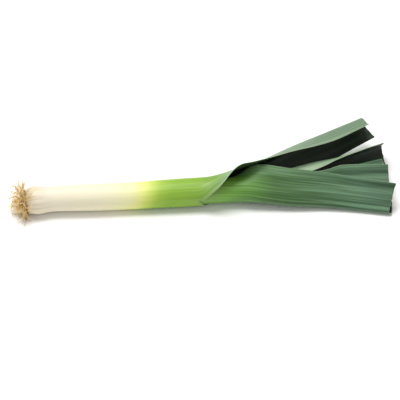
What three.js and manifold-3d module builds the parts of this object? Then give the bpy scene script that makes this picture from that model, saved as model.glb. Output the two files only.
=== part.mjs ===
// A leek, lying on its side as it was pulled, with its leaves trimmed: millimetres, +Z up.
// +X runs from the root to the leaf tips, and the surface it lies on is z = 0.
// The shank is the white stem. Five leaves are wrapped round its pale heart, each in the sheath of the one
// outside it, and they leave the stem in two ranks, one towards +Y and one towards -Y, as blades folded along
// their keels.
import * as THREE from "three";
import { mergeVertices } from "three/addons/utils/BufferGeometryUtils.js";
import Module from "manifold-3d";

const wasm = await Module();
wasm.setup();

// Driving dimensions of the stem
const rootFaceX = -169.6; // where the white stem ends in the root plate
const seamX = -35.6; // where the white stem gives way to the green sheaths
const gap = 0.4; // air between neighbouring pieces
const sheathThickness = 1.0;
const mouthX = 15; // where the outermost sheath opens, and the stem as a whole ends

// Half the stem's thickness, from the root face to the fan of leaves
const stemRadius = through([
  [-169.6, 10.6],
  [-168, 12.2],
  [-165.5, 13.7],
  [-162, 14.9],
  [-157.5, 15.2],
  [-153, 14.6],
  [-147, 13.6],
  [-134, 13.7],
  [-113, 14.3],
  [-92, 14.6],
  [-60, 14.6],
  [-35.6, 14.9],
  [-5, 15.3],
  [15, 15.4],
  [60, 15.4],
]);
// How high the stem's underside is carried, and how far the stem bends to the side
const stemLift = through([
  [-157.5, 0],
  [-148, 1.3],
  [-134, 1.6],
  [-110, 1],
  [-90, 0.5],
  [-60, 0],
  [-58, 0],
  [60, 0],
]);
const stemSway = through([
  [-157.5, 0],
  [-134, 0.8],
  [-95, 0],
  [60, 0],
]);
const rootSlant = 0.16; // how far the root face leans, per millimetre across it
const slantFrom = -144; // where the lean begins to come in

// Each leaf: side is +1 for a keel towards +Y and -1 for -Y, opensX is where its sheath's two margins part,
// tipX is where its keel is cut, and skew says how much further on its upper and lower margins are cut: evenly
// from the keel on, or more near the keel where it names a power below 1.
// Each row of sections is: x, the keel's distance from the stem's middle, the keel's height, the rise of the
// upper half and the drop of the lower half in degrees, the widths of the two halves, and the lengths over
// which they bend.
const leaves = [
  {
    name: "leaf_1",
    side: 1,
    sides: 26,
    stations: 27,
    opensX: 15,
    openingLength: 50,
    tipX: 201,
    skew: { upper: 5.5, lower: 15 },
    sections: [
      [15, 15.4, 15.4, 60, 10, 48.4, 48.4, 6, 9],
      [22, 15.5, 15.4, 60, 5, 44.5, 37, 6, 11],
      [30, 16.3, 15.3, 60, 3, 42, 30.5, 6, 11],
      [45, 20, 15, 58, 2, 43, 26.5, 6, 11],
      [59.5, 24.7, 15.5, 52, 5, 43, 25.5, 5, 10.5],
      [71, 29, 16.6, 48, 12, 41, 27, 5, 10],
      [85, 34, 20, 43, 28, 39.5, 28, 5, 6.5],
      [118, 49, 25, 31, 30, 37, 32, 5, 5],
      [165, 69, 29.5, 13, 30, 34, 33, 5, 5],
      [201, 84, 32.5, 9, 20, 29, 30, 5, 5],
    ],
  },
  {
    name: "leaf_2",
    side: -1,
    sides: 26,
    stations: 26,
    opensX: 45,
    openingLength: 50,
    tipX: 214.6,
    skew: { upper: 10.6, lower: 9, lowerPower: 0.35 },
    sections: [
      [15, 14, 15.3, 60, 10, 44, 44, 6, 9],
      [25, 13.4, 15.4, 50, 10, 42.1, 42.1, 6, 9],
      [45, 13.4, 15.3, 50, 10, 42.1, 42.1, 6, 9],
      [50, 13.5, 15.3, 45, 8, 41, 35, 6, 9],
      [60, 14.3, 15.1, 44, 6, 41, 26.5, 6, 9],
      [70, 16, 15, 42, 4, 42, 27, 6, 9],
      [83, 17.5, 13, 40, 2, 41, 27, 6, 8],
      [113, 21.3, 9.5, 36, 1, 40, 30, 5, 6],
      [146, 23.4, 7, 35, 0, 38, 33, 4, 4.6],
      [178, 28.5, 5, 35, 0, 36, 32, 3.5, 3.4],
      [217, 37, 4.5, 35, 0, 34, 30, 3, 3.2],
    ],
  },
  {
    name: "leaf_3",
    side: 1,
    sides: 18,
    stations: 22,
    opensX: 70,
    openingLength: 42,
    tipX: 222.5,
    skew: { upper: -1.5, lower: 3 },
    sections: [
      [15, 12.6, 15.3, 20, 30, 39.6, 39.6, 5, 5],
      [25, 12.2, 15.4, 20, 30, 38.3, 38.3, 5, 5],
      [45, 11.8, 15.3, 20, 20, 37, 37, 5, 6],
      [70, 10.9, 15, 20, 20, 33.5, 33.5, 6, 6],
      [78, 12, 15.2, 20, 20, 27.5, 25.7, 6, 6],
      [84, 14, 16.1, 18, 22, 26, 23.5, 6, 6],
      [98, 18, 17.2, 14, 24, 24, 24.2, 6, 6],
      [116, 24, 18.6, 7, 25, 24, 25.6, 5, 5],
      [143, 31.5, 18.5, 11, 24, 25, 26.5, 5, 5],
      [166, 36.5, 17.5, 33, 24, 26, 28, 4, 4],
      [198, 48, 15.6, 42, 22, 26, 27.5, 4, 4],
      [222.5, 58.5, 13.6, 43, 20, 24, 26, 4, 4],
    ],
  },
  {
    name: "leaf_4",
    side: -1,
    sides: 18,
    stations: 18,
    opensX: 95,
    openingLength: 45,
    tipX: 219.8,
    skew: { upper: 0, lower: 0 },
    sections: [
      [15, 11.2, 15.3, 40, 5, 35.2, 35.2, 4.5, 4.5],
      [25, 10.8, 15.4, 40, 5, 33.9, 33.9, 4.5, 4.5],
      [45, 10.3, 15.2, 40, 5, 32.4, 32.4, 4.5, 4.5],
      [70, 8.6, 15, 40, 5, 27, 27, 4.5, 4.5],
      [82, 8.1, 15.3, 40, 5, 24.7, 24.7, 4.5, 4.5],
      [95, 8.1, 15, 40, 0, 24, 24, 4.5, 4.5],
      [103, 9, 14.7, 38, -6, 25, 22, 4.5, 4.5],
      [120, 10.5, 13.4, 32, -12, 25, 18, 4.5, 4.5],
      [140, 11.5, 12, 28, -15, 26, 18, 4.5, 4.5],
      [154, 11.8, 10.8, 31, -14, 29, 18, 4, 4],
      [171, 12.3, 9.8, 35, -12, 34, 19, 4, 4],
      [219, 15.5, 9, 37, -5, 35, 20, 4, 4],
    ],
  },
  {
    name: "leaf_5",
    side: 1,
    sides: 18,
    stations: 16,
    opensX: 118,
    openingLength: 40,
    tipX: 217,
    skew: { upper: 0, lower: 0 },
    sections: [
      [15, 9.8, 15.3, 10, 20, 30.8, 30.8, 4, 4],
      [25, 9.4, 15.4, 10, 20, 29.5, 29.5, 4, 4],
      [45, 8.8, 15.2, 10, 20, 27.7, 27.7, 4, 4],
      [70, 7.1, 15, 10, 20, 22, 22, 4, 4],
      [82, 6.2, 15.1, 10, 20, 19.6, 19.6, 4, 4],
      [95, 5.7, 14.8, 10, 20, 19, 19, 4, 4],
      [103, 4.8, 14.7, 10, 20, 18, 18, 4, 4],
      [118, 5.2, 14.8, 10, 15, 16, 16, 4, 4],
      [126, 8, 15.6, 8, 15, 16, 15, 4, 4],
      [145, 14, 17.4, 0, 15, 15.5, 14, 4, 4],
      [178, 22, 18.7, 2, 15, 17, 15, 4, 4],
      [217, 31, 20, 4, 15, 18, 17, 4, 4],
    ],
  },
];
const marginThickness = 0.7;
const sheathSpacing = 16; // between the rings of a closed sheath, past the mouth
const openingRings = [2, 5]; // how far past its opening a blade has its first two rings
const skewLength = 70; // length of blade over which the slant of its cut end comes in

// The pale heart inside the sheaths: x and radius, down to the last ring before its tip
const heart = [
  [seamX - gap, 7.9],
  [10, 7.9],
  [45, 7],
  [70, 5],
  [90, 3],
  [104, 1.3],
];

// Roots
const rootCount = 64;
const plateRadius = 9.7;
const plateThickness = 4.5;
const rootSunk = 1.5;
const rootThickness = { base: 0.85, tip: 0.4 };
const rootLength = { least: 12, spread: 11 };
const rootSplay = { middle: 12, rim: 90, spread: 14 }; // degrees from the leek's own line
const rootDroop = 0.3;
const floorClearance = 0.9; // how close to the surface a root's middle line may come

const colours = {
  roots: new THREE.MeshStandardMaterial({ color: 0xc7a36b, roughness: 0.9 }),
  shank: new THREE.MeshStandardMaterial({ color: 0xf3eed6, roughness: 0.45 }),
  outerLeaf: new THREE.MeshStandardMaterial({ color: 0x8fb07f, roughness: 0.5 }),
  innerLeaf: new THREE.MeshStandardMaterial({ color: 0x5d8f63, roughness: 0.5 }),
};

// A smooth curve through [x, value] pairs: level up to the first, and straight on past the last.
function through(pairs) {
  const last = pairs.length - 1;
  const slope = (a, b) => (pairs[b][1] - pairs[a][1]) / (pairs[b][0] - pairs[a][0]);
  const slopes = pairs.map((pair, i) => {
    if (i === 0) return 0;
    return i === last ? slope(last - 1, last) : slope(i - 1, i + 1);
  });
  return (x) => {
    if (x <= pairs[0][0]) return pairs[0][1];
    if (x >= pairs[last][0]) return pairs[last][1] + slopes[last] * (x - pairs[last][0]);
    const i = pairs.findIndex((pair) => pair[0] > x) - 1;
    const span = pairs[i + 1][0] - pairs[i][0];
    const t = (x - pairs[i][0]) / span;
    const start = (1 + 2 * t) * (1 - t) ** 2 * pairs[i][1] + t * (1 - t) ** 2 * span * slopes[i];
    const end = t ** 2 * (3 - 2 * t) * pairs[i + 1][1] - t ** 2 * (1 - t) * span * slopes[i + 1];
    return start + end;
  };
}

function smoothStep(value, from, to) {
  const t = Math.min(1, Math.max(0, (value - from) / (to - from)));
  return t * t * (3 - 2 * t);
}

// The height of the stem's middle line, for a stem of so many flat sides that lies on one of them.
function stemHeight(x, sides) {
  return stemLift(x) + stemRadius(x) * Math.cos(Math.PI / sides);
}

// A closed solid from its rings of points, each ring the same length. A ring of one point closes an end.
function loft(rings) {
  const points = rings.flat();
  const starts = [];
  rings.reduce((sum, ring) => {
    starts.push(sum);
    return sum + ring.length;
  }, 0);
  const index = [];
  for (let r = 0; r + 1 < rings.length; r += 1) {
    const here = rings[r].length;
    const next = rings[r + 1].length;
    const count = Math.max(here, next);
    for (let k = 0; k < count; k += 1) {
      const a = starts[r] + (k % here);
      const b = starts[r] + ((k + 1) % here);
      const c = starts[r + 1] + ((k + 1) % next);
      const d = starts[r + 1] + (k % next);
      if (here > 1) index.push(a, c, b);
      if (next > 1) index.push(a, d, c);
    }
  }
  return geometryFrom(points, index);
}

function geometryFrom(points, index) {
  const geometry = new THREE.BufferGeometry();
  geometry.setAttribute("position", new THREE.Float32BufferAttribute(points.flat(), 3));
  geometry.setIndex(index);
  return mergeVertices(geometry, 1e-3);
}

// How far the leaning root face carries a point along the stem, for its place across the stem.
function slantShift(x, across, above) {
  return -rootSlant * smoothStep(x, slantFrom, rootFaceX) * (across + above) * Math.SQRT1_2;
}

// A ring round the stem's line at x, seen from the root end, with one flat side underneath.
function stemRing(x, radius, sides) {
  const ring = [];
  for (let k = 0; k < sides; k += 1) {
    const angle = -Math.PI / 2 + ((k + 0.5) / sides) * 2 * Math.PI;
    const across = -radius * Math.cos(angle);
    const above = radius * Math.sin(angle);
    ring.push([x + slantShift(x, across, above), stemSway(x) + across, stemHeight(x, sides) + above]);
  }
  return ring;
}

// The white stem, with the step where the green sheaths begin and the slim heart inside them.
function shankGeometry() {
  const sides = 34;
  const stations = [-169.6, -168.9, -167.6, -165.5, -162, -157.5, -153, -147, -141, -134];
  for (let x = -122; x < seamX - 8; x += 14) {
    stations.push(x);
  }
  stations.push(seamX - gap);
  const rings = stations.map((x) => stemRing(x, stemRadius(x), sides));
  for (const [x, radius] of heart) {
    rings.push(stemRing(x, radius, sides));
  }
  rings.unshift([[rootFaceX, stemSway(rootFaceX), stemHeight(rootFaceX, sides)]]);
  rings.push([[heart.at(-1)[0] + 3, 0, stemHeight(mouthX, sides)]]);
  return loft(rings);
}

// Where a leaf's outer face is, at x and at a share of the way from its keel to a margin. A share above 0 is
// on the upper half.
function leafPlace(leaf, order, x, share) {
  const row = leaf.curves.map((curve) => curve(x));
  const [out, height, rise, drop, upperWidth, lowerWidth, upperBend, lowerBend] = row;
  const up = share < 0 ? -1 : 1;
  const sheathWidth = leaf.curves[4](Math.min(x, leaf.opensX));
  const radius = x <= mouthX ? stemRadius(x) - order * (sheathThickness + gap) : sheathWidth / Math.PI;
  if (x <= leaf.opensX) {
    const angle = share * Math.PI;
    const keelOut = x <= mouthX ? radius : out;
    const keelHeight = x <= mouthX ? stemHeight(x, leaves[0].sides) : height;
    const facing = [Math.cos(angle), Math.sin(angle)];
    return { out: keelOut - radius + radius * facing[0], z: keelHeight + radius * facing[1], facing };
  }
  const opened = smoothStep(x, leaf.opensX, leaf.opensX + leaf.openingLength);
  const lean = THREE.MathUtils.degToRad(90 - (up > 0 ? rise : drop));
  const bend = up > 0 ? upperBend : lowerBend;
  const turned = (d) => (1 - opened) * (d / radius) + opened * lean * (1 - Math.exp(-d / bend));
  const distance = Math.abs(share) * (up > 0 ? upperWidth : lowerWidth);
  const steps = 40;
  const step = distance / steps;
  const place = { out, z: height };
  for (let i = 0; i < steps; i += 1) {
    const angle = turned((i + 0.5) * step);
    place.out -= Math.sin(angle) * step;
    place.z += up * Math.cos(angle) * step;
  }
  const angle = turned(distance);
  place.facing = [Math.cos(angle), up * Math.sin(angle)];
  return place;
}

// A leaf as one closed solid: its outer face, its inner face, and the edges between them.
function leafGeometry(leaf, order) {
  const columns = leaf.sections[0].length - 1;
  leaf.curves = [];
  for (let column = 1; column <= columns; column += 1) {
    leaf.curves.push(through(leaf.sections.map((row) => [row[0], row[column]])));
  }
  const stations = [seamX, (seamX + mouthX) / 2, mouthX];
  for (let x = mouthX + sheathSpacing; x < leaf.opensX - sheathSpacing / 4; x += sheathSpacing) {
    stations.push(x);
  }
  if (leaf.opensX > mouthX) stations.push(leaf.opensX);
  const closedRows = stations.length - 1;
  stations.push(...openingRings.map((further) => leaf.opensX + further));
  const left = leaf.stations - stations.length;
  const from = stations.at(-1);
  for (let i = 1; i <= left; i += 1) {
    stations.push(from + ((leaf.tipX - from) * i) / left);
  }
  const outer = [];
  const inner = [];
  for (const station of stations) {
    const skewed = smoothStep(station, leaf.tipX - skewLength, leaf.tipX);
    const outerRow = [];
    const innerRow = [];
    for (let k = 0; k <= leaf.sides; k += 1) {
      const share = (2 * k) / leaf.sides - 1;
      const skew = share > 0 ? leaf.skew.upper : leaf.skew.lower;
      const power = share < 0 ? (leaf.skew.lowerPower ?? 1) : 1;
      const x = station + skewed * skew * Math.abs(share) ** power;
      const place = leafPlace(leaf, order, x, share);
      const thinned = smoothStep(x, leaf.opensX, leaf.opensX + leaf.openingLength) * share ** 2;
      const thickness = sheathThickness + (marginThickness - sheathThickness) * thinned;
      const innerOut = place.out - thickness * place.facing[0];
      const innerZ = place.z - thickness * place.facing[1];
      outerRow.push([x, leaf.side * place.out, place.z]);
      innerRow.push([x, leaf.side * innerOut, innerZ]);
    }
    if (station <= leaf.opensX) {
      outerRow[leaf.sides] = outerRow[0];
      innerRow[leaf.sides] = innerRow[0];
    }
    outer.push(outerRow);
    inner.push(innerRow);
  }
  return sheetGeometry(outer, inner, closedRows, leaf.side > 0);
}

// Joins an outer and an inner grid into one closed solid. Up to row `parts` the two long edges are one.
function sheetGeometry(outer, inner, parts, turned) {
  const rows = outer.length;
  const columns = outer[0].length;
  const points = [...outer.flat(), ...inner.flat()];
  const out = (r, k) => r * columns + k;
  const inn = (r, k) => rows * columns + out(r, k);
  const index = [];
  const quad = (a, b, c, d) => {
    if (turned) index.push(a, c, b, a, d, c);
    else index.push(a, b, c, a, c, d);
  };
  for (let r = 0; r + 1 < rows; r += 1) {
    for (let k = 0; k + 1 < columns; k += 1) {
      quad(out(r, k), out(r + 1, k), out(r + 1, k + 1), out(r, k + 1));
      const a = inn(r, k);
      const c = inn(r + 1, k + 1);
      if (turned) index.push(a, inn(r + 1, k), c, a, c, inn(r, k + 1));
      else index.push(a, c, inn(r + 1, k), a, inn(r, k + 1), c);
    }
  }
  for (let k = 0; k + 1 < columns; k += 1) {
    quad(out(0, k), out(0, k + 1), inn(0, k + 1), inn(0, k));
    quad(out(rows - 1, k + 1), out(rows - 1, k), inn(rows - 1, k), inn(rows - 1, k + 1));
  }
  for (let r = parts; r + 1 < rows; r += 1) {
    const last = columns - 1;
    quad(out(r, 0), inn(r, 0), inn(r + 1, 0), out(r + 1, 0));
    quad(out(r, last), out(r + 1, last), inn(r + 1, last), inn(r, last));
  }
  return geometryFrom(points, index);
}

// Seeded random numbers from 0 to 1, the same ones each time.
function randomSource(seed) {
  let state = seed;
  return () => {
    state = (state + 0x6d2b79f5) | 0;
    let t = Math.imul(state ^ (state >>> 15), 1 | state);
    t = (t + Math.imul(t ^ (t >>> 7), 61 | t)) ^ t;
    return ((t ^ (t >>> 14)) >>> 0) / 4294967296;
  };
}

function toSolid(geometry) {
  return new wasm.Manifold(
    new wasm.Mesh({
      numProp: 3,
      vertProperties: geometry.attributes.position.array,
      triVerts: new Uint32Array(geometry.index.array),
    }),
  );
}

function fromSolid(solid) {
  const mesh = solid.getMesh();
  const geometry = new THREE.BufferGeometry();
  geometry.setAttribute("position", new THREE.BufferAttribute(mesh.vertProperties, 3));
  geometry.setIndex(new THREE.BufferAttribute(mesh.triVerts, 1));
  return geometry;
}

// One root: a three-sided tapering rod along a bent line, which starts inside the plate.
function rootGeometry(start, direction, length, droop) {
  const bends = 4;
  const rings = [];
  const at = new THREE.Vector3(...start);
  const way = direction.clone().normalize();
  const across = new THREE.Vector3();
  const above = new THREE.Vector3();
  for (let i = 0; i <= bends; i += 1) {
    const share = i / bends;
    const radius = rootThickness.base + (rootThickness.tip - rootThickness.base) * share;
    across.crossVectors(way, new THREE.Vector3(0.1, 0.3, 1)).normalize();
    above.crossVectors(across, way);
    const ring = [0, 1, 2].map((corner) => {
      const angle = (corner * 2 * Math.PI) / 3;
      const point = at.clone();
      point.addScaledVector(across, radius * Math.cos(angle));
      point.addScaledVector(above, radius * Math.sin(angle));
      return point.toArray();
    });
    rings.push(ring);
    at.addScaledVector(way, length / bends);
    at.z = Math.max(at.z, floorClearance);
    way.add(droop).normalize();
  }
  rings.unshift([rings[0].reduce((sum, p) => sum.map((v, i) => v + p[i] / 3), [0, 0, 0])]);
  rings.push([rings.at(-1).reduce((sum, p) => sum.map((v, i) => v + p[i] / 3), [0, 0, 0])]);
  return loft(rings);
}

// The root plate with its roots, spread over it as seeds are in a sunflower and splayed outwards.
function rootsGeometry() {
  const sides = 22;
  const random = randomSource(7);
  const middleY = stemSway(rootFaceX);
  const middleZ = stemHeight(rootFaceX, 34);
  const plateX = rootFaceX - gap;
  const ring = (x, radius) => {
    const points = [];
    for (let k = 0; k < sides; k += 1) {
      const angle = (k / sides) * 2 * Math.PI;
      points.push([x, middleY - radius * Math.cos(angle), middleZ + radius * Math.sin(angle)]);
    }
    return points;
  };
  const plate = loft([
    [[plateX - plateThickness, middleY, middleZ]],
    ring(plateX - plateThickness, plateRadius * 0.62),
    ring(plateX - plateThickness * 0.6, plateRadius * 0.9),
    ring(plateX - plateThickness * 0.2, plateRadius),
    ring(plateX, plateRadius * 0.97),
    [[plateX, middleY, middleZ]],
  ]);
  let solid = toSolid(plate);
  const goldenAngle = Math.PI * (3 - Math.sqrt(5));
  for (let i = 0; i < rootCount; i += 1) {
    const share = Math.sqrt((i + 0.5) / rootCount);
    const angle = i * goldenAngle;
    const radial = new THREE.Vector3(0, -Math.cos(angle), Math.sin(angle));
    const evenSplay = rootSplay.middle + (rootSplay.rim - rootSplay.middle) * share;
    const splay = THREE.MathUtils.degToRad(evenSplay + rootSplay.spread * (random() - 0.5));
    const direction = new THREE.Vector3(-Math.cos(splay), 0, 0);
    direction.addScaledVector(radial, Math.sin(splay));
    const length = rootLength.least + rootLength.spread * random();
    const depth = Math.max(1.3, plateThickness * (1 - 0.75 * share ** 2) - rootSunk);
    const start = [plateX - depth, middleY, middleZ];
    start[1] += radial.y * (plateRadius * share - rootSunk * Math.sin(splay));
    start[2] += radial.z * (plateRadius * share - rootSunk * Math.sin(splay));
    const droop = new THREE.Vector3(random() - 0.6, random() - 0.5, random() - 0.6);
    const root = toSolid(rootGeometry(start, direction, length, droop.multiplyScalar(rootDroop)));
    solid = solid.add(root);
  }
  const geometry = fromSolid(solid);
  const positions = geometry.attributes.position;
  for (let i = 0; i < positions.count; i += 1) {
    const across = positions.getY(i) - middleY;
    const above = positions.getZ(i) - middleZ;
    const share = Math.min(1, plateRadius / Math.hypot(across, above));
    positions.setX(i, positions.getX(i) + slantShift(rootFaceX, across * share, above * share));
  }
  return geometry;
}

function piece(name, geometry, material) {
  const mesh = new THREE.Mesh(geometry, material);
  mesh.name = name;
  return mesh;
}

const leek = new THREE.Group();
leek.add(piece("roots", rootsGeometry(), colours.roots));
leek.add(piece("shank", shankGeometry(), colours.shank));
leaves.forEach((leaf, order) => {
  const colour = order === 0 ? colours.outerLeaf : colours.innerLeaf;
  leek.add(piece(leaf.name, leafGeometry(leaf, order), colour));
});

export default leek;
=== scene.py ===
import math
import random

import bmesh
import bpy
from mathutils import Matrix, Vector, noise


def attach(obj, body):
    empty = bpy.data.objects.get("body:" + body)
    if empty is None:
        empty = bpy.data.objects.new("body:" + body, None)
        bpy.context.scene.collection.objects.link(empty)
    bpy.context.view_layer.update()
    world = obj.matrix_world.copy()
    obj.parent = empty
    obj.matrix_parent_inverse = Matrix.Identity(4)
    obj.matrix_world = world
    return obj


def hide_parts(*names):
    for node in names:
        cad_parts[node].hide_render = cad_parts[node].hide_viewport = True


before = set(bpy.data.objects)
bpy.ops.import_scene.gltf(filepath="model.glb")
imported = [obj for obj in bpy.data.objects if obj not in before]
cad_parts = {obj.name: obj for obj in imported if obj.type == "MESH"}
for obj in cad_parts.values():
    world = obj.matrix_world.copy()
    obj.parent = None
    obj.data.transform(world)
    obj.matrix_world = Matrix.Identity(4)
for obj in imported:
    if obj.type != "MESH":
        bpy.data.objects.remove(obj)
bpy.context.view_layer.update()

# A leek lying on its side: roots at -X, leaf tips at +X, the surface it lies on at z = 0.
# Lengths in the dictionaries are millimetres, and become metres where a vertex is placed.
mm = 0.001


# Shared helpers

def linearColour(hexColour):
    channels = [int(hexColour[i:i + 2], 16) / 255 for i in (0, 2, 4)]
    return [c / 12.92 if c <= 0.04045 else ((c + 0.055) / 1.055) ** 2.4 for c in channels] + [1.0]


def addNode(tree, kind, settings=None, inputs=None):
    node = tree.nodes.new(kind)
    for name, value in (settings or {}).items():
        if name == "stops":  # a colour ramp's stops, as [position, colour]
            for i, (position, colour) in enumerate(value):
                stop = node.color_ramp.elements[i] if i < 2 else node.color_ramp.elements.new(position)
                stop.position = position
                stop.color = colour
        else:
            setattr(node, name, value)
    for socket, value in (inputs or {}).items():
        if isinstance(value, bpy.types.NodeSocket):
            tree.links.new(value, node.inputs[socket])
        else:
            node.inputs[socket].default_value = value
    return node


def newMaterial(name):
    material = bpy.data.materials.new(name)
    material.use_nodes = True
    material.node_tree.nodes.clear()
    return material, material.node_tree


def smoothStep(value, start, end):
    t = min(1.0, max(0.0, (value - start) / (end - start)))
    return t * t * (3 - 2 * t)


def through(pairs):
    # a smooth curve through [x, value] pairs: level up to the first, and straight on past the last
    last = len(pairs) - 1

    def slope(a, b):
        return (pairs[b][1] - pairs[a][1]) / (pairs[b][0] - pairs[a][0])

    slopes = [0.0] + [slope(i - 1, i + 1) for i in range(1, last)] + [slope(last - 1, last)]

    def value(x):
        if x <= pairs[0][0]:
            return pairs[0][1]
        if x >= pairs[last][0]:
            return pairs[last][1] + slopes[last] * (x - pairs[last][0])
        i = next(k for k in range(last) if pairs[k + 1][0] > x)
        span = pairs[i + 1][0] - pairs[i][0]
        t = (x - pairs[i][0]) / span
        start = (1 + 2 * t) * (1 - t) ** 2 * pairs[i][1] + t * (1 - t) ** 2 * span * slopes[i]
        end = t ** 2 * (3 - 2 * t) * pairs[i + 1][1] - t ** 2 * (1 - t) * span * slopes[i + 1]
        return start + end

    return value


def finishPiece(name, bm, materials, nodes):
    for face in bm.faces:
        face.smooth = True
    mesh = bpy.data.meshes.new(name)
    bm.to_mesh(mesh)
    bm.free()
    piece = bpy.data.objects.new(name, mesh)
    bpy.context.scene.collection.objects.link(piece)
    for material in materials:
        mesh.materials.append(material)
    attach(piece, "root")
    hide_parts(*nodes)
    return piece


# The view: from above and in front, a little towards the root end

view = {
    "target": (16.2, 1.0, 1.65),
    "distance": 1500,
    "turn": -4.2,        # degrees round the vertical, from straight in front
    "height": 45,        # degrees above the surface
    "lens": 125,
    "sensor": 36,
}

turn, height = math.radians(view["turn"]), math.radians(view["height"])
target = Vector(view["target"]) * mm
away = Vector((math.sin(turn) * math.cos(height), -math.cos(turn) * math.cos(height), math.sin(height)))
cameraData = bpy.data.cameras.new("camera")
cameraData.lens = view["lens"]
cameraData.sensor_width = view["sensor"]
camera = bpy.data.objects.new("camera", cameraData)
camera.location = target + away * view["distance"] * mm
camera.rotation_euler = (target - camera.location).to_track_quat("-Z", "Y").to_euler()
bpy.context.scene.collection.objects.link(camera)
bpy.context.scene.camera = camera
print("view set")


# The stem's form, the same one as the solids have

stem = {
    "rootFaceX": -169.6,
    "seamX": -35.6,          # where the outermost leaf's own sheath takes over from the shank
    "mouthX": 15,            # where that sheath opens
    "radius": [[-169.6, 10.6], [-168, 12.2], [-165.5, 13.7], [-162, 14.9], [-157.5, 15.2], [-153, 14.6],
               [-147, 13.6], [-134, 13.7], [-113, 14.3], [-92, 14.6], [-60, 14.6], [-35.6, 14.9], [-5, 15.3],
               [15, 15.4], [60, 15.4]],
    "lift": [[-157.5, 0], [-148, 1.3], [-134, 1.6], [-110, 1], [-90, 0.5], [-60, 0], [-58, 0], [60, 0]],
    "sway": [[-157.5, 0], [-134, 0.8], [-95, 0], [60, 0]],
    "flat": 0.9927,          # height of the middle line as a share of the radius: it rests on a narrow strip
    "rootSlant": 0.16,       # how far the root face leans, per millimetre across it
    "slantFrom": -144,
    "ribDepth": 0.13,        # lengthwise ribs of the layers underneath
    "ribWidth": 4.5,
    "wrinkleDepth": 0.6,     # they deepen to wrinkles where the layers run into the root plate
    "wrinkleWidth": 2.2,
    "wrinkleFrom": -140,     # they begin here and are full at the next place
    "wrinkleFull": -164,
    "lap": 2.5,              # how far shank and outermost sheath run under each other at the seam
    "lapSunk": 0.15,
}
fibreRadius = 16             # the round on which noise and fibres are laid out, near the stem's own radius
stemRadius = through(stem["radius"])
stemLift = through(stem["lift"])
stemSway = through(stem["sway"])


def stemHeight(x):
    return stemLift(x) + stemRadius(x) * stem["flat"]


def slantShift(x, across, above):
    leaning = smoothStep(-x, -stem["slantFrom"], -stem["rootFaceX"])
    return -stem["rootSlant"] * leaning * (across + above) * math.sqrt(0.5)


def stemRelief(x, angle):
    rolled = Vector((math.cos(angle), math.sin(angle), 0)) * fibreRadius
    ribs = noise.noise(rolled / stem["ribWidth"] + Vector((0, 0, x / 90))) * stem["ribDepth"]
    near = smoothStep(-x, -stem["wrinkleFrom"], -stem["wrinkleFull"])
    wrinkles = noise.noise(rolled / stem["wrinkleWidth"] + Vector((0, 0, x / 30))) * stem["wrinkleDepth"]
    return ribs * (1 - near) + wrinkles * near


# Leaf and shank skins

skin = {
    "from": -175,            # the colour zones run along the leek between these places
    "to": 230,
    "zoneJitter": 9,         # how far veins carry one zone into the next
    "zoneLeanAndShade": 0.6,         # how much further towards the root the zones begin underneath, per millimetre: partly the green's own slant, partly painted shade that makes the underside greener and darker
    "veinSpacing": 1.3,      # fine parallel veins, drawn a little coarser than real so that they show
    "veinLength": 110,
    "bandSpacing": 8.0,      # broad lengthwise bands
    "bandLength": 170,
    "veinBump": 0.10,
    "greenFrom": -45,        # veins and bands come in between these places
    "greenTo": 30,
    "dryFrom": -138,
    "dryness": 0.9,
    "dryColour": "C2AC86",
}
whiteZones = [[-175, "E2D8C2"], [-150, "E4DBC6"], [-90, "E5DFBF"], [-66, "E4E1AE"], [-53, "DCDE84"],
              [-43, "BDCF5C"], [-34, "9ABA40"], [-21, "87AE32"], [6, "84AB32"], [24, "80A24C"]]


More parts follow.
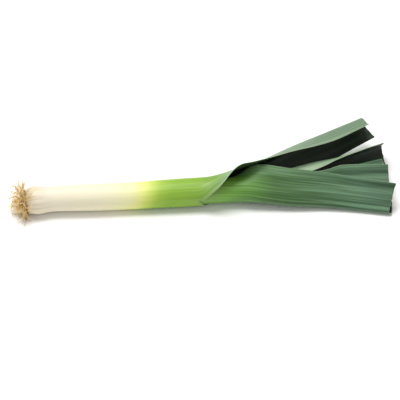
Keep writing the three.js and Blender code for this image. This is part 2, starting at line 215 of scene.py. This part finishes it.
def leafSkinMaterial(name, blades, veinTint, bloom, lines):
    # living leaf: cellulose skin under a thin matt wax bloom, which greys the green and softens highlights
    material, tree = newMaterial(name)
    place = addNode(tree, "ShaderNodeTexCoord")
    fibre = addNode(tree, "ShaderNodeAttribute", {"attribute_name": "fibre"})
    across, along = 1 / (skin["veinSpacing"] * mm), 1 / (skin["veinLength"] * mm)
    fine = addNode(tree, "ShaderNodeVectorMath", {"operation": "MULTIPLY"},
                   {0: fibre.outputs["Vector"], 1: (along, across, across)})
    veins = addNode(tree, "ShaderNodeTexNoise", None,
                    {"Vector": fine.outputs[0], "Scale": 1.0, "Detail": 2.0, "Roughness": 0.55})
    across, along = 1 / (skin["bandSpacing"] * mm), 1 / (skin["bandLength"] * mm)
    broad = addNode(tree, "ShaderNodeVectorMath", {"operation": "MULTIPLY"},
                    {0: fibre.outputs["Vector"], 1: (along, across, across)})
    bands = addNode(tree, "ShaderNodeTexNoise", None,
                    {"Vector": broad.outputs[0], "Scale": 1.0, "Detail": 2.5, "Roughness": 0.6})
    # colour zones along the leek, carried to and fro by the bands
    axis = addNode(tree, "ShaderNodeSeparateXYZ", None, {"Vector": place.outputs["Object"]})
    jitter = addNode(tree, "ShaderNodeMath", {"operation": "MULTIPLY_ADD"},
                     {0: bands.outputs["Fac"], 1: 2 * skin["zoneJitter"] * mm, 2: -skin["zoneJitter"] * mm})
    aside = addNode(tree, "ShaderNodeSeparateXYZ", None, {"Vector": fibre.outputs["Vector"]})
    # partly painted shade: the zones move towards the root on the underside, so the lower side of the stem
    # turns green and dark sooner
    below = addNode(tree, "ShaderNodeMath", {"operation": "MULTIPLY_ADD"},
                    {0: aside.outputs["Z"], 1: -skin["zoneLeanAndShade"], 2: axis.outputs["X"]})
    moved = addNode(tree, "ShaderNodeMath", {"operation": "ADD"}, {0: below.outputs[0], 1: jitter.outputs[0]})
    share = addNode(tree, "ShaderNodeMapRange", None,
                    {"Value": moved.outputs[0], "From Min": skin["from"] * mm, "From Max": skin["to"] * mm})
    length = skin["to"] - skin["from"]
    stops = [[(x - skin["from"]) / length, linearColour(c)] for x, c in whiteZones + blades]
    zones = addNode(tree, "ShaderNodeValToRGB", {"stops": stops}, {"Fac": share.outputs["Result"]})
    # veins are faint on the white and plain on the green
    green = addNode(tree, "ShaderNodeMapRange", None,
                    {"Value": moved.outputs[0], "From Min": skin["greenFrom"] * mm,
                     "From Max": skin["greenTo"] * mm, "To Min": 0.04, "To Max": 1.0})
    veinRange = addNode(tree, "ShaderNodeMapRange", None,
                        {"Value": veins.outputs["Fac"], "From Min": 0.38, "From Max": 0.66, "To Max": 0.7})
    bandRange = addNode(tree, "ShaderNodeMapRange", None,
                        {"Value": bands.outputs["Fac"], "From Min": 0.45, "From Max": 0.64, "To Max": 1.0})
    veinShare = addNode(tree, "ShaderNodeMath", {"operation": "MULTIPLY"},
                        {0: veinRange.outputs["Result"], 1: green.outputs["Result"]})
    bandShare = addNode(tree, "ShaderNodeMath", {"operation": "MULTIPLY"},
                        {0: bandRange.outputs["Result"], 1: green.outputs["Result"]})
    streaked = addNode(tree, "ShaderNodeMix", {"data_type": "RGBA", "blend_type": "MULTIPLY"},
                       {"Factor": veinShare.outputs[0], "A": zones.outputs["Color"],
                        "B": linearColour(veinTint)})
    # single veins that stand out lighter
    lineRange = addNode(tree, "ShaderNodeMapRange", None,
                        {"Value": veins.outputs["Fac"], "From Min": 0.46, "From Max": 0.36, "To Max": 0.8})
    lineShare = addNode(tree, "ShaderNodeMath", {"operation": "MULTIPLY"},
                        {0: lineRange.outputs["Result"], 1: green.outputs["Result"]})
    lined = addNode(tree, "ShaderNodeMix", {"data_type": "RGBA", "blend_type": "SCREEN"},
                    {"Factor": lineShare.outputs[0], "A": streaked.outputs["Result"],
                     "B": linearColour(lines)})
    # dry brownish wrinkles close to the root plate
    dryRange = addNode(tree, "ShaderNodeMapRange", None,
                       {"Value": axis.outputs["X"], "From Min": skin["dryFrom"] * mm,
                        "From Max": skin["from"] * mm, "To Max": skin["dryness"]})
    dryShare = addNode(tree, "ShaderNodeMath", {"operation": "MULTIPLY"},
                       {0: dryRange.outputs["Result"], 1: veinRange.outputs["Result"]})
    dried = addNode(tree, "ShaderNodeMix", {"data_type": "RGBA", "blend_type": "MULTIPLY"},
                    {"Factor": dryShare.outputs[0], "A": lined.outputs["Result"],
                     "B": linearColour(skin["dryColour"])})
    bloomed = addNode(tree, "ShaderNodeMix", {"data_type": "RGBA", "blend_type": "SCREEN"},
                      {"Factor": bandShare.outputs[0], "A": dried.outputs["Result"],
                       "B": linearColour(bloom)})
    roughness = addNode(tree, "ShaderNodeMapRange", None,
                        {"Value": bands.outputs["Fac"], "From Min": 0.3, "From Max": 0.7,
                         "To Min": 0.42, "To Max": 0.56})
    relief = addNode(tree, "ShaderNodeBump", None,
                     {"Height": veins.outputs["Fac"], "Distance": skin["veinBump"] * mm, "Strength": 0.8})
    shader = addNode(tree, "ShaderNodeBsdfPrincipled", None,
                     {"Base Color": bloomed.outputs["Result"], "Roughness": roughness.outputs["Result"],
                      "Normal": relief.outputs["Normal"], "IOR": 1.42,
                      "Subsurface Weight": 0.12, "Subsurface Radius": (0.004, 0.003, 0.0015),
                      "Subsurface Scale": 1.0})
    addNode(tree, "ShaderNodeOutputMaterial", None, {"Surface": shader.outputs["BSDF"]})
    return material


def cutRimMaterial():
    # knife-cut leaf tissue and the leaf's thin margin: moist and pale, with no bloom and little green. The
    # paleness is partly the tissue's own and partly a painted highlight standing in for the light that
    # catches the margins and cut ends
    material, tree = newMaterial("paleLeafMargin")
    place = addNode(tree, "ShaderNodeTexCoord")
    cells = addNode(tree, "ShaderNodeTexNoise", None,
                    {"Vector": place.outputs["Object"], "Scale": 700.0, "Detail": 2.0})
    colours = [[0.3, linearColour("8FB083")], [0.7, linearColour("B9CFA4")]]
    tissueAndRimLight = addNode(tree, "ShaderNodeValToRGB", {"stops": colours}, {"Fac": cells.outputs["Fac"]})
    shader = addNode(tree, "ShaderNodeBsdfPrincipled", None,
                     {"Base Color": tissueAndRimLight.outputs["Color"], "Roughness": 0.4, "IOR": 1.4})
    addNode(tree, "ShaderNodeOutputMaterial", None, {"Surface": shader.outputs["BSDF"]})
    return material


# Leaves

# Each row of sections is: x, the keel's distance from the stem's middle, the keel's height, the rise of the
# upper half and the drop of the lower half in degrees, the widths of the two halves, and the lengths over
# which they bend. A skew is how far the upper and the lower margin reach past the keel at the cut end. Its
# third number, where there is one, is the power with which the lower half comes to do so.
leafStyle = {
    "thickness": 1.0,
    "marginShare": 0.7,      # thickness at the margin, as a share of the thickness at the keel
    "skewLength": 70,        # length of blade over which the slant of its cut end comes in
    "pleatDepth": 0.32,      # soft lengthwise pleats of the open blade
    "pleatWidth": 6.5,
    "waveDepth": 0.8,        # slow waves of the margins
    "waveLength": 55,
    "waveFrom": 0.55,        # where they begin, as a share of the way from keel to margin
    "marginLift": 1.5,       # how far the open upper margins stand off
    "liftRun": 14,           # length over which they come to do so
    "liftFrom": 0.8,         # share of the way to the margin at which they begin to
    "raggedness": 0.5,       # of the cut ends
    "raggedRun": 14,
    "steps": 24,             # steps in which a blade's section is bent
}
leaves = {
    "leaf_1": {
        "side": 1, "opensX": 15, "openingLength": 50,
        "tipX": 201, "skew": (5.5, 15), "columns": 56, "rows": 120,
        "sections": [
            [15, 15.4, 15.4, 60, 10, 48.4, 48.4, 6, 9],
            [22, 15.5, 15.4, 60, 5, 44.5, 34, 6, 11],
            [30, 16.3, 15.3, 60, 3, 42, 27.5, 6, 11],
            [45, 20, 15, 58, 2, 43, 25.5, 6, 11],
            [59.5, 24.7, 15.5, 52, 5, 43, 25.5, 5, 10.5],
            [71, 29, 16.6, 48, 12, 41, 27, 5, 10],
            [85, 34, 20, 43, 28, 39.5, 28, 5, 6.5],
            [118, 49, 25, 31, 30, 37, 32, 5, 5],
            [165, 69, 29.5, 13, 30, 34, 33, 5, 5],
            [201, 84, 32.5, 9, 20, 29, 30, 5, 5],
        ],
    },
    "leaf_2": {
        "side": -1, "opensX": 45, "openingLength": 50,
        "tipX": 214.6, "skew": (10.6, 9, 0.35), "columns": 56, "rows": 110,
        "sections": [
            [15, 14, 15.3, 60, 10, 44, 44, 6, 9],
            [25, 13.4, 15.4, 50, 10, 42.1, 42.1, 6, 9],
            [45, 13.4, 15.3, 50, 10, 42.1, 42.1, 6, 9],
            [50, 13.5, 15.3, 45, 8, 41, 35, 6, 9],
            [60, 14.3, 15.1, 44, 6, 41, 26.5, 6, 9],
            [70, 16, 15, 42, 4, 42, 27, 6, 9],
            [83, 17.5, 13, 40, 2, 41, 27, 6, 8],
            [113, 21.3, 9.5, 36, 1, 40, 30, 5, 6],
            [146, 23.4, 7, 35, 0, 38, 33, 4, 4.6],
            [178, 28.5, 5, 35, 0, 36, 32, 3.5, 3.4],
            [217, 37, 4.5, 35, 0, 34, 30, 3, 3.2],
        ],
    },
    "leaf_3": {
        "side": 1, "opensX": 70, "openingLength": 42,
        "tipX": 222.5, "skew": (-1.5, 3), "columns": 44, "rows": 96,
        "sections": [
            [15, 12.6, 15.3, 20, 30, 39.6, 39.6, 5, 5],
            [25, 12.2, 15.4, 20, 30, 38.3, 38.3, 5, 5],
            [45, 11.8, 15.3, 20, 20, 37, 37, 5, 6],
            [70, 10.9, 15, 20, 20, 33.5, 33.5, 6, 6],
            [78, 12, 15.2, 20, 20, 27.5, 25.7, 6, 6],
            [84, 14, 16.1, 18, 22, 26, 23.5, 6, 6],
            [98, 18, 17.2, 14, 24, 24, 24.2, 6, 6],
            [116, 24, 18.6, 7, 25, 24, 25.6, 5, 5],
            [143, 31.5, 18.5, 11, 24, 25, 26.5, 5, 5],
            [166, 36.5, 17.5, 33, 24, 26, 28, 4, 4],
            [198, 48, 15.6, 42, 22, 26, 27.5, 4, 4],
            [222.5, 58.5, 13.6, 43, 20, 24, 26, 4, 4],
        ],
    },
    "leaf_4": {
        "side": -1, "opensX": 95, "openingLength": 45,
        "tipX": 219.8, "skew": (0, 0), "columns": 44, "rows": 90,
        "sections": [
            [15, 11.2, 15.3, 40, 5, 35.2, 35.2, 4.5, 4.5],
            [25, 10.8, 15.4, 40, 5, 33.9, 33.9, 4.5, 4.5],
            [45, 10.3, 15.2, 40, 5, 32.4, 32.4, 4.5, 4.5],
            [70, 8.6, 15, 40, 5, 27, 27, 4.5, 4.5],
            [82, 8.1, 15.3, 40, 5, 24.7, 24.7, 4.5, 4.5],
            [95, 8.1, 15, 40, 0, 24, 24, 4.5, 4.5],
            [103, 9, 14.7, 38, -6, 25, 22, 4.5, 4.5],
            [120, 10.5, 13.4, 32, -12, 25, 18, 4.5, 4.5],
            [140, 11.5, 12, 28, -15, 26, 18, 4.5, 4.5],
            [154, 11.8, 10.8, 31, -14, 29, 18, 4, 4],
            [171, 12.3, 9.8, 35, -12, 34, 19, 4, 4],
            [219, 15.5, 9, 37, -5, 35, 20, 4, 4],
        ],
    },
    "leaf_5": {
        "side": 1, "opensX": 118, "openingLength": 40,
        "tipX": 217, "skew": (0, 0), "columns": 36, "rows": 84,
        "sections": [
            [15, 9.8, 15.3, 10, 20, 30.8, 30.8, 4, 4],
            [25, 9.4, 15.4, 10, 20, 29.5, 29.5, 4, 4],
            [45, 8.8, 15.2, 10, 20, 27.7, 27.7, 4, 4],
            [70, 7.1, 15, 10, 20, 22, 22, 4, 4],
            [82, 6.2, 15.1, 10, 20, 19.6, 19.6, 4, 4],
            [95, 5.7, 14.8, 10, 20, 19, 19, 4, 4],
            [103, 4.8, 14.7, 10, 20, 18, 18, 4, 4],
            [118, 5.2, 14.8, 10, 15, 16, 16, 4, 4],
            [126, 8, 15.6, 8, 15, 16, 15, 4, 4],
            [145, 14, 17.4, 0, 15, 15.5, 14, 4, 4],
            [178, 22, 18.7, 2, 15, 17, 15, 4, 4],
            [217, 31, 20, 4, 15, 18, 17, 4, 4],
        ],
    },
}
leafGap = 0.4                # between one leaf and the next where they are wrapped


def leafPlace(leaf, order, x, share):
    # where a leaf's outer face is and which way it faces, for a share of the way from keel to margin
    # (more than zero is the upper half)
    values = [curve(x) for curve in leaf["curves"]]
    out, height, rise, drop, upperWidth, lowerWidth, upperBend, lowerBend = values
    up = -1 if share < 0 else 1
    sheathWidth = leaf["curves"][4](min(x, leaf["opensX"]))
    inStem = x <= stem["mouthX"]
    radius = stemRadius(x) - order * (leafStyle["thickness"] + leafGap) if inStem else sheathWidth / math.pi
    if x <= leaf["opensX"]:
        angle = share * math.pi
        keelOut = radius if inStem else out
        keelHeight = stemHeight(x) if inStem else height
        facing = (math.cos(angle), math.sin(angle))
        return keelOut - radius + radius * facing[0], keelHeight + radius * facing[1], facing
    opened = smoothStep(x, leaf["opensX"], leaf["opensX"] + leaf["openingLength"])
    lean = math.radians(90 - (rise if up > 0 else drop))
    bend = upperBend if up > 0 else lowerBend
    step = abs(share) * (upperWidth if up > 0 else lowerWidth) / leafStyle["steps"]
    angle = 0.0
    for i in range(leafStyle["steps"]):
        d = (i + 0.5) * step
        angle = (1 - opened) * d / radius + opened * lean * (1 - math.exp(-d / bend))
        out -= math.sin(angle) * step
        height += up * math.cos(angle) * step
    return out, height, (math.cos(angle), up * math.sin(angle))


def leafStations(leaf, order):
    start = stem["seamX"] - (stem["lap"] if order == 0 else 0)
    closed = max(2, round(leaf["rows"] * (leaf["opensX"] - start) / (leaf["tipX"] - start) * 0.8))
    opened = leaf["rows"] - closed
    stations = [start + (leaf["opensX"] - start) * i / closed for i in range(closed + 1)]
    blade = leaf["tipX"] - leaf["opensX"]
    return stations + [leaf["opensX"] + blade * (i + 1) / opened for i in range(opened)]


def makeLeaf(name, leaf, order, materials):
    columns = len(leaf["sections"][0])
    leaf["curves"] = [through([[row[0], row[c]] for row in leaf["sections"]]) for c in range(1, columns)]
    stations = leafStations(leaf, order)
    bm = bmesh.new()
    fibre = bm.verts.layers.float_vector.new("fibre")
    thickness = bm.verts.layers.deform.new()
    bmesh.ops.create_grid(bm, x_segments=leaf["rows"], y_segments=leaf["columns"], size=1)
    for vertex in bm.verts:
        station = stations[round((vertex.co.x + 1) / 2 * leaf["rows"])]
        share = vertex.co.y
        skewed = smoothStep(station, leaf["tipX"] - leafStyle["skewLength"], leaf["tipX"])
        power = leaf["skew"][2] if share < 0 and len(leaf["skew"]) > 2 else 1
        x = station + skewed * leaf["skew"][0 if share > 0 else 1] * abs(share) ** power
        out, height, facing = leafPlace(leaf, order, x, share)
        opened = smoothStep(x, leaf["opensX"], leaf["opensX"] + leaf["openingLength"])
        angle = share * math.pi
        rolled = Vector((math.cos(angle), math.sin(angle), 0)) * fibreRadius
        seed = Vector((order * 31.7, order * 17.3, x / 130))
        relief = leafStyle["pleatDepth"] * opened * noise.noise(rolled / leafStyle["pleatWidth"] + seed)
        margin = opened * smoothStep(abs(share), leafStyle["waveFrom"], 1)
        wave = Vector((x / leafStyle["waveLength"], order * 5.1, share * 1.5))
        relief += leafStyle["waveDepth"] * margin * noise.noise(wave)
        parted = smoothStep(x, leaf["opensX"], leaf["opensX"] + leafStyle["liftRun"])
        relief += leafStyle["marginLift"] * parted * smoothStep(share, leafStyle["liftFrom"], 1)
        if order == 0:
            relief += stemRelief(x, angle) * (1 - opened)
            relief -= stem["lapSunk"] * (max(0, stem["seamX"] - x) / stem["lap"]) ** 2
        ragged = smoothStep(station, leaf["tipX"] - leafStyle["raggedRun"], leaf["tipX"])
        ragged *= leafStyle["raggedness"]
        x += ragged * noise.noise(Vector((share * 9, order * 7.7, 0)))
        y = out + relief * facing[0]
        z = max(height + relief * facing[1], 0)
        vertex.co = Vector((x, leaf["side"] * y, z)) * mm
        vertex[fibre] = (Vector((x + order * 400, 0, 0)) + Vector((0, rolled.x, rolled.y))) * mm
        vertex[thickness][0] = 1 + (leafStyle["marginShare"] - 1) * opened * share ** 2
    closedPart = [v for v in bm.verts if v.co.x <= (leaf["opensX"] + 0.01) * mm]
    bmesh.ops.remove_doubles(bm, verts=closedPart, dist=1e-6)
    bmesh.ops.recalc_face_normals(bm, faces=bm.faces)
    keelFace = max(bm.faces, key=lambda f: f.calc_center_median().y * leaf["side"])
    if keelFace.normal.y * leaf["side"] < 0:
        bmesh.ops.reverse_faces(bm, faces=bm.faces)
    piece = finishPiece(name + "_blade", bm, materials, [name])
    piece.vertex_groups.new(name="thickness")
    wall = piece.modifiers.new("wall", "SOLIDIFY")
    wall.thickness = leafStyle["thickness"] * mm
    wall.offset = -1
    wall.vertex_group = "thickness"
    wall.material_offset = 1
    wall.material_offset_rim = 2
    rounding = piece.modifiers.new("rounding", "SUBSURF")
    rounding.levels = 1
    rounding.render_levels = 1


# Blade colours for each leaf, partly the leaves' own greens and partly painted light and shade: the lit
# tables for leaf_1 and leaf_3 are lighter and greyer where those leaves face up into the light, and the
# shaded table for leaf_2, leaf_4 and leaf_5 is darker where they face down and away. Its first stops are
# lightened to make up for the shade that leaf_1's margin casts on leaf_2 by the opening.
outerBladeLit = [[45, "88A67A"], [75, "84997F"], [130, "778C74"], [230, "70866F"]]
middleBladeLit = [[45, "7C9C6A"], [75, "9DB893"], [110, "BBD0B2"], [170, "93AC8C"], [230, "5E7C62"]]
innerBladeShaded = [[38, "7CAE42"], [56, "66953F"], [85, "486C39"], [130, "3D5E38"], [190, "395840"],
              [230, "2E4A36"]]
outerSkinLit = leafSkinMaterial("waxyOuterLeafLit", outerBladeLit, "B5CDB0", "2A2F2A", "526438")
middleSkinLit = leafSkinMaterial("waxyMiddleLeafLit", middleBladeLit, "B5CDB0", "2A2F2A", "3C4A34")
innerSkinShaded = leafSkinMaterial("waxyInnerLeafShaded", innerBladeShaded, "A5C8A0", "536C55", "42523A")
# the leaves' inner faces: painted shade, a near-black green standing in for the shade inside the folds, much
# darker than the face's own green
foldShadeBlade = [[45, "1F3816"], [90, "102612"], [230, "0E2210"]]
foldShadeSkin = leafSkinMaterial("upperLeafFacePaintedShade", foldShadeBlade, "B5CDB0", "101810", "0C160C")
rimSkin = cutRimMaterial()
for order, (name, leaf) in enumerate(leaves.items()):
    makeLeaf(name, leaf, order, [{0: outerSkinLit, 2: middleSkinLit}.get(order, innerSkinShaded), foldShadeSkin, rimSkin])
print("leaves made")


# The white shank, with the slim heart that goes on inside the leaves

shankStyle = {
    "around": 112,
    # x and radius of the closed root face, and of the heart
    "rootEnd": [[-169.6, 0], [-169.6, 5.4], [-169.7, 8.6], [-169.6, 10.6]],
    "heart": [[-33, 7.9], [10, 7.9], [45, 7], [70, 5], [90, 3], [104, 1.3], [107, 0]],
    "spacing": 1.9,          # between rings, and closer by the root face
    "rootSpacing": 0.7,
    "closeTo": -165,
}


def makeShank():
    rings = [list(ring) for ring in shankStyle["rootEnd"]]
    x = stem["rootFaceX"] + 0.6
    while x < stem["seamX"] + stem["lap"]:
        rings.append([x, stemRadius(x)])
        x += shankStyle["rootSpacing"] if x < shankStyle["closeTo"] else shankStyle["spacing"]
    rings.append([stem["seamX"] + stem["lap"], stemRadius(stem["seamX"])])
    skinRings = len(rings)
    rings += shankStyle["heart"]
    bm = bmesh.new()
    fibre = bm.verts.layers.float_vector.new("fibre")
    bmesh.ops.create_grid(bm, x_segments=len(rings) - 1, y_segments=shankStyle["around"], size=1)
    for vertex in bm.verts:
        row = round((vertex.co.x + 1) / 2 * (len(rings) - 1))
        x, radius = rings[row]
        angle = vertex.co.y * math.pi
        if row < skinRings:
            radius += stemRelief(x, angle) * min(1, radius / 12)
            radius -= stem["lapSunk"] * (max(0, x - stem["seamX"]) / stem["lap"]) ** 2
        across, above = radius * math.cos(angle), radius * math.sin(angle)
        if radius < 0.01:
            across = above = 0.0
        z = max(stemHeight(x) + above, 0)
        vertex.co = Vector((x + slantShift(x, across, above), stemSway(x) + across, z)) * mm
        vertex[fibre] = Vector((x, fibreRadius * math.cos(angle), fibreRadius * math.sin(angle))) * mm
    bmesh.ops.remove_doubles(bm, verts=bm.verts, dist=1e-6)
    bmesh.ops.recalc_face_normals(bm, faces=bm.faces)
    piece = finishPiece("shank_skin", bm, [outerSkinLit], ["shank"])
    rounding = piece.modifiers.new("rounding", "SUBSURF")
    rounding.levels = 1
    rounding.render_levels = 1


makeShank()
print("shank made")


# Roots: dry fibrous roots that spring from a brown plate

tuft = {
    "seed": 11,
    "count": 400,
    "plateRadius": 9.7,
    "plateThickness": 4.5,
    "rings": 9,
    "length": (9, 26),
    "thickness": (0.46, 0.14),   # at the plate and at the tip
    "splay": (8, 82),            # degrees from the leek's own line, in the middle and at the rim
    "splayLift": 15,             # how much more the upper roots splay than the middle ones, in degrees
    "uplift": 0.42,              # how much longer and more upright the upper roots are than the lower ones
    "splaySpread": 14,           # degrees to either side, from root to root
    "shortened": (0.75, 1),
    "girth": (0.7, 1.25),        # from root to root, as a share of the thickness
    "plateDome": 0.75,           # how much lower the plate is at its rim
    "curl": 0.55,
    "kink": 0.32,
    "wander": 0.42,
    "lowest": 0.5,
}


def rootMaterial():
    # dried root: papery, matt and straw coloured, browner by the plate and where soil has stained it
    material, tree = newMaterial("dryRootFibre")
    tone = addNode(tree, "ShaderNodeAttribute", {"attribute_name": "tone"})
    along = addNode(tree, "ShaderNodeAttribute", {"attribute_name": "along"})
    place = addNode(tree, "ShaderNodeTexCoord")
    stain = addNode(tree, "ShaderNodeTexNoise", None,
                    {"Vector": place.outputs["Object"], "Scale": 260.0, "Detail": 3.0})
    tones = [[0.0, "A87A3A"], [0.3, "E6C27A"], [0.65, "F8E2A8"], [1.0, "FFF2CC"]]
    colours = [[position, linearColour(colour)] for position, colour in tones]
    straw = addNode(tree, "ShaderNodeValToRGB", {"stops": colours}, {"Fac": tone.outputs["Fac"]})
    base = addNode(tree, "ShaderNodeMapRange", None,
                   {"Value": along.outputs["Fac"], "From Max": 0.3, "To Min": 0.6, "To Max": 0.0})
    dark = addNode(tree, "ShaderNodeMix", {"data_type": "RGBA"},
                   {"Factor": base.outputs["Result"], "A": straw.outputs["Color"],
                    "B": linearColour("6E441C")})
    spots = addNode(tree, "ShaderNodeMapRange", None,
                    {"Value": stain.outputs["Fac"], "From Min": 0.52, "From Max": 0.72, "To Max": 0.25})
    stained = addNode(tree, "ShaderNodeMix", {"data_type": "RGBA", "blend_type": "MULTIPLY"},
                      {"Factor": spots.outputs["Result"], "A": dark.outputs["Result"],
                       "B": linearColour("B08850")})
    shader = addNode(tree, "ShaderNodeBsdfPrincipled", None,
                     {"Base Color": stained.outputs["Result"], "Roughness": 0.85, "IOR": 1.45})
    addNode(tree, "ShaderNodeOutputMaterial", None, {"Surface": shader.outputs["BSDF"]})
    return material


def plateMaterial():
    # corky root plate: rough, dull and earth brown
    material, tree = newMaterial("corkyRootPlate")
    place = addNode(tree, "ShaderNodeTexCoord")
    cork = addNode(tree, "ShaderNodeTexNoise", None,
                   {"Vector": place.outputs["Object"], "Scale": 420.0, "Detail": 4.0, "Roughness": 0.65})
    colours = [[0.3, linearColour("4F3014")], [0.5, linearColour("80552A")], [0.7, linearColour("B48A52")]]
    brown = addNode(tree, "ShaderNodeValToRGB", {"stops": colours}, {"Fac": cork.outputs["Fac"]})
    relief = addNode(tree, "ShaderNodeBump", None,
                     {"Height": cork.outputs["Fac"], "Distance": 0.5 * mm, "Strength": 0.9})
    shader = addNode(tree, "ShaderNodeBsdfPrincipled", None,
                     {"Base Color": brown.outputs["Color"], "Roughness": 0.92,
                      "Normal": relief.outputs["Normal"]})
    addNode(tree, "ShaderNodeOutputMaterial", None, {"Surface": shader.outputs["BSDF"]})
    return material


def rootLine(start, direction, length, rng):
    # the root's middle line and its direction at each ring, wandering as it dries
    line = []
    at, way = Vector(start), Vector(direction).normalized()
    drift = Vector((rng.uniform(-1, 1), rng.uniform(-1, 1), rng.uniform(-1.2, 0.8))) * tuft["curl"]
    for i in range(tuft["rings"] + 1):
        line.append((at.copy(), way.copy()))
        at += way * length / tuft["rings"]
        kink = Vector((rng.uniform(-1, 1), rng.uniform(-1, 1), rng.uniform(-1, 1))) * tuft["kink"]
        way = (way + (drift + kink) * tuft["wander"]).normalized()
        if at.z < tuft["lowest"]:
            at.z = tuft["lowest"]
            way.z = abs(way.z) * 0.3
    return line


def makeRoots():
    rng = random.Random(tuft["seed"])
    middle = Vector((stem["rootFaceX"], stemSway(stem["rootFaceX"]), stemHeight(stem["rootFaceX"])))
    template = bmesh.new()
    bmesh.ops.create_cone(template, cap_ends=True, segments=4, radius1=1, radius2=1, depth=1)
    bmesh.ops.translate(template, verts=template.verts, vec=(0, 0, 0.5))
    sides = [e for e in template.edges if abs(e.verts[0].co.z - e.verts[1].co.z) > 0.5]
    bmesh.ops.subdivide_edges(template, edges=sides, cuts=tuft["rings"] - 1, use_grid_fill=True)
    rod = bpy.data.meshes.new("rod")
    template.to_mesh(rod)
    template.free()
    bm = bmesh.new()
    along = bm.verts.layers.float.new("along")
    tone = bm.verts.layers.float.new("tone")
    goldenAngle = math.pi * (3 - math.sqrt(5))
    for i in range(tuft["count"]):
        share = math.sqrt((i + 0.5) / tuft["count"])
        angle = i * goldenAngle
        radial = Vector((0, math.cos(angle), math.sin(angle)))
        widest = tuft["splay"][1] + tuft["splayLift"] * radial.z
        spread = rng.uniform(-tuft["splaySpread"], tuft["splaySpread"])
        splay = math.radians(tuft["splay"][0] + (widest - tuft["splay"][0]) * share + spread)
        direction = Vector((-math.cos(splay), 0, tuft["uplift"])) + radial * math.sin(splay)
        depth = tuft["plateThickness"] * (1 - tuft["plateDome"] * share ** 2) - 1.2
        start = middle + Vector((-max(depth, 0.6), 0, 0)) + radial * (tuft["plateRadius"] * share - 0.8)
        length = rng.uniform(*tuft["length"]) * (1 + tuft["uplift"] * radial.z * share)
        length *= rng.uniform(*tuft["shortened"])
        line = rootLine(start, direction, length, rng)
        rootTone = rng.random()
        girth = rng.uniform(*tuft["girth"])
        before = len(bm.verts)
        bm.from_mesh(rod)
        bm.verts.ensure_lookup_table()
        for vertex in bm.verts[before:]:
            ring = round(vertex.co.z * tuft["rings"])
            at, way = line[ring]
            aside = way.cross(Vector((0.13, 0.31, 1))).normalized()
            above = aside.cross(way)
            done = ring / tuft["rings"]
            radius = (tuft["thickness"][0] + (tuft["thickness"][1] - tuft["thickness"][0]) * done) * girth
            vertex[along] = done
            vertex[tone] = rootTone
            vertex.co = at + (aside * vertex.co.x + above * vertex.co.y) * radius
    bpy.data.meshes.remove(rod)
    rootFaces = len(bm.faces)
    plateReach = tuft["plateRadius"] + 0.3
    made = bmesh.ops.create_uvsphere(bm, u_segments=36, v_segments=18, radius=1)
    for vertex in made["verts"]:
        lump = 1 + 0.10 * noise.noise(vertex.co * 4)
        across, above = vertex.co.x * plateReach, vertex.co.y * plateReach
        vertex.co = middle + Vector((vertex.co.z * tuft["plateThickness"], across, above)) * lump
    for index, face in enumerate(bm.faces):
        face.material_index = 0 if index < rootFaces else 1
    for vertex in bm.verts:
        across, above = vertex.co.y - middle.y, vertex.co.z - middle.z
        held = min(1, tuft["plateRadius"] / max(0.01, math.hypot(across, above)))
        vertex.co.x += slantShift(stem["rootFaceX"], across * held, above * held)
        vertex.co *= mm
    bmesh.ops.recalc_face_normals(bm, faces=bm.faces)
    finishPiece("root_tuft", bm, [rootMaterial(), plateMaterial()], ["roots"])


makeRoots()
print("roots made")


# Floor, lights and surround

studio = {
    "floorSize": 6000,
    "floorColour": "FDFCFA",
    "surround": 0.44,
    "key": {"place": (-250, 300, 1350), "size": 900, "power": 19.5},
    "fill": {"place": (500, -900, 900), "size": 1200, "power": 2},
}


def makeStudio():
    bm = bmesh.new()
    bmesh.ops.create_grid(bm, x_segments=1, y_segments=1, size=studio["floorSize"] / 2 * mm)
    mesh = bpy.data.meshes.new("floor")
    bm.to_mesh(mesh)
    bm.free()
    floor = bpy.data.objects.new("floor", mesh)
    bpy.context.scene.collection.objects.link(floor)
    material, tree = newMaterial("mattWhiteBoard")
    shader = addNode(tree, "ShaderNodeBsdfPrincipled", None,
                     {"Base Color": linearColour(studio["floorColour"]), "Roughness": 0.9,
                      "Specular IOR Level": 0.2})
    addNode(tree, "ShaderNodeOutputMaterial", None, {"Surface": shader.outputs["BSDF"]})
    mesh.materials.append(material)
    for name in ("key", "fill"):
        light = bpy.data.lights.new(name, "AREA")
        light.shape = "DISK"
        light.size = studio[name]["size"] * mm
        light.energy = studio[name]["power"]
        lamp = bpy.data.objects.new(name, light)
        lamp.location = Vector(studio[name]["place"]) * mm
        lamp.rotation_euler = (target - lamp.location).to_track_quat("-Z", "Y").to_euler()
        bpy.context.scene.collection.objects.link(lamp)
    world = bpy.data.worlds.new("studio")
    bpy.context.scene.world = world
    world.use_nodes = True
    world.node_tree.nodes["Background"].inputs["Color"].default_value = (1, 1, 1, 1)
    world.node_tree.nodes["Background"].inputs["Strength"].default_value = studio["surround"]
    bpy.context.scene.view_settings.view_transform = "Standard"


makeStudio()
print("studio set")
